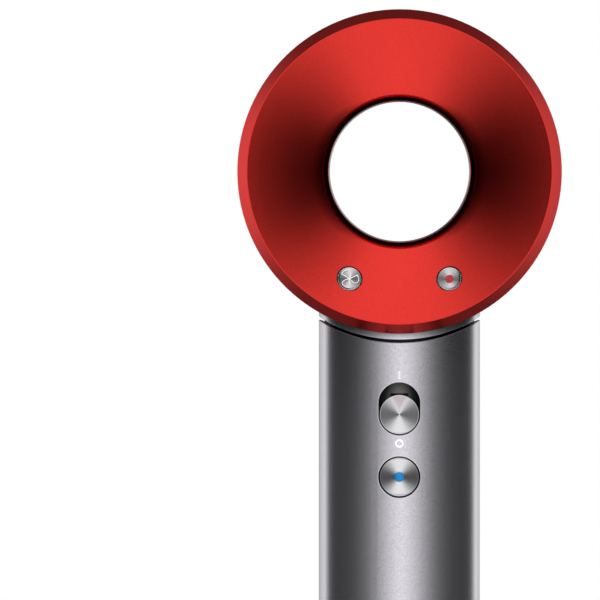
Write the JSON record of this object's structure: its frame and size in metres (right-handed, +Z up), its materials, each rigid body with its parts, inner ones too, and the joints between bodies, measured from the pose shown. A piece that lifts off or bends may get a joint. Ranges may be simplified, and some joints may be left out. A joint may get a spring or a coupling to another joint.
{
  "type": "hair dryer",
  "caption": "Hand hair dryer: round handle with fan and controls, ring-shaped head with a clear through bore and red bell-mouthed rear cover, slide-off filter cage, coiled mains lead with plug.",
  "frame": {"origin": "centre of the hand grip, on the handle axis", "axes": "+Z up along the handle towards the head, +Y out of the air outlet, controls face -Y"},
  "size_m": [0.1432, 0.2056, 0.369],
  "materials": {
    "satin_grey": "satin metallic paint on moulded nylon",
    "satin_red": "satin red metallic paint on moulded nylon",
    "spun_aluminium": "turned face with fine rings",
    "bright_bezel": "bright plated",
    "dark_plastic": "fine moulded texture",
    "black_rubber": "matt moulded",
    "cord_jacket": "matt extruded jacket",
    "mica": "laminated sheet",
    "resistance_ribbon": "bare ribbon",
    "steel": "zinc plated",
    "laminations": "stacked sheet",
    "copper_winding": "enamelled wire",
    "magnet": "sintered",
    "circuit_board": "solder mask",
    "blue_lens": "clear tinted",
    "red_dot": "filled paint",
    "wire_mesh": "woven wire",
    "plug_plastic": "fine moulded texture",
    "pin_metal": "nickel plated"
  },
  "bodies": {
    "dryer": {"head_shell": "satin_grey", "rear_cover": "satin_red", "rear_seal": "black_rubber", "outlet_bezel": "bright_bezel", "outlet_ring": "satin_grey", "attachment_magnets": "magnet", "inner_duct": "dark_plastic", "duct_seal": "black_rubber", "heater_frame": "mica", "heater_winding": "resistance_ribbon", "heater_sleeve": "mica", "thermal_cutout": "dark_plastic", "thermistor": "dark_plastic", "head_board": "circuit_board", "board_screws": "steel", "head_switches": "dark_plastic", "ioniser_module": "dark_plastic", "ioniser_needle": "steel", "neck_collar": "satin_grey", "neck_seal": "black_rubber", "handle_shell": "satin_grey", "control_carrier": "dark_plastic", "handle_chassis": "dark_plastic", "switch_board": "circuit_board", "chassis_screws": "steel", "power_switch": "dark_plastic", "cool_switch": "dark_plastic", "motor_mount": "black_rubber", "motor_frame": "dark_plastic", "stator_core": "laminations", "stator_coils": "copper_winding", "motor_bearings": "steel", "motor_board": "circuit_board", "base_ring": "dark_plastic", "filter_mesh": "wire_mesh", "end_cap": "dark_plastic", "cord_clamp": "dark_plastic", "clamp_screws": "steel", "inner_cable": "cord_jacket", "strain_relief": "black_rubber", "cord_lead": "cord_jacket", "cord_coil": "cord_jacket", "cord_tail": "cord_jacket", "coil_tie": "black_rubber", "plug_body": "plug_plastic", "plug_pins": "pin_metal"},
    "slider": {"power_slider": "spun_aluminium"},
    "cool_key": {"cool_button": "spun_aluminium", "cool_button_lens": "blue_lens"},
    "speed_key": {"speed_button": "spun_aluminium"},
    "heat_key": {"heat_button": "spun_aluminium", "heat_button_dot": "red_dot"},
    "rotor": {"impeller": "dark_plastic", "rotor_shaft": "steel", "rotor_magnet": "magnet"},
    "cage": {"filter_cage": "satin_grey"}
  },
  "joints": [
    {"name": "power_slide", "type": "slide", "parent": "dryer", "child": "slider", "axis": [0, 0, 1], "range_m": [0, 0.00285]},
    {"name": "cool_press", "type": "slide", "parent": "dryer", "child": "cool_key", "axis": [0, 1, 0], "range_m": [0, 0.001], "stiffness_N_per_m": 400},
    {"name": "speed_press", "type": "slide", "parent": "dryer", "child": "speed_key", "axis": [-0.1165, 0.9613, -0.2498], "range_m": [0, 0.0007], "stiffness_N_per_m": 400},
    {"name": "heat_press", "type": "slide", "parent": "dryer", "child": "heat_key", "axis": [0.1165, 0.9613, -0.2498], "range_m": [0, 0.0007], "stiffness_N_per_m": 400},
    {"name": "fan_spin", "type": "hinge", "parent": "dryer", "child": "rotor", "pos_m": [0, 0, 0], "axis": [0, 0, 1], "continuous": true},
    {"name": "cage_pull", "type": "slide", "parent": "dryer", "child": "cage", "axis": [0, 0, -1], "range_m": [0, 0.055]}
  ]
}
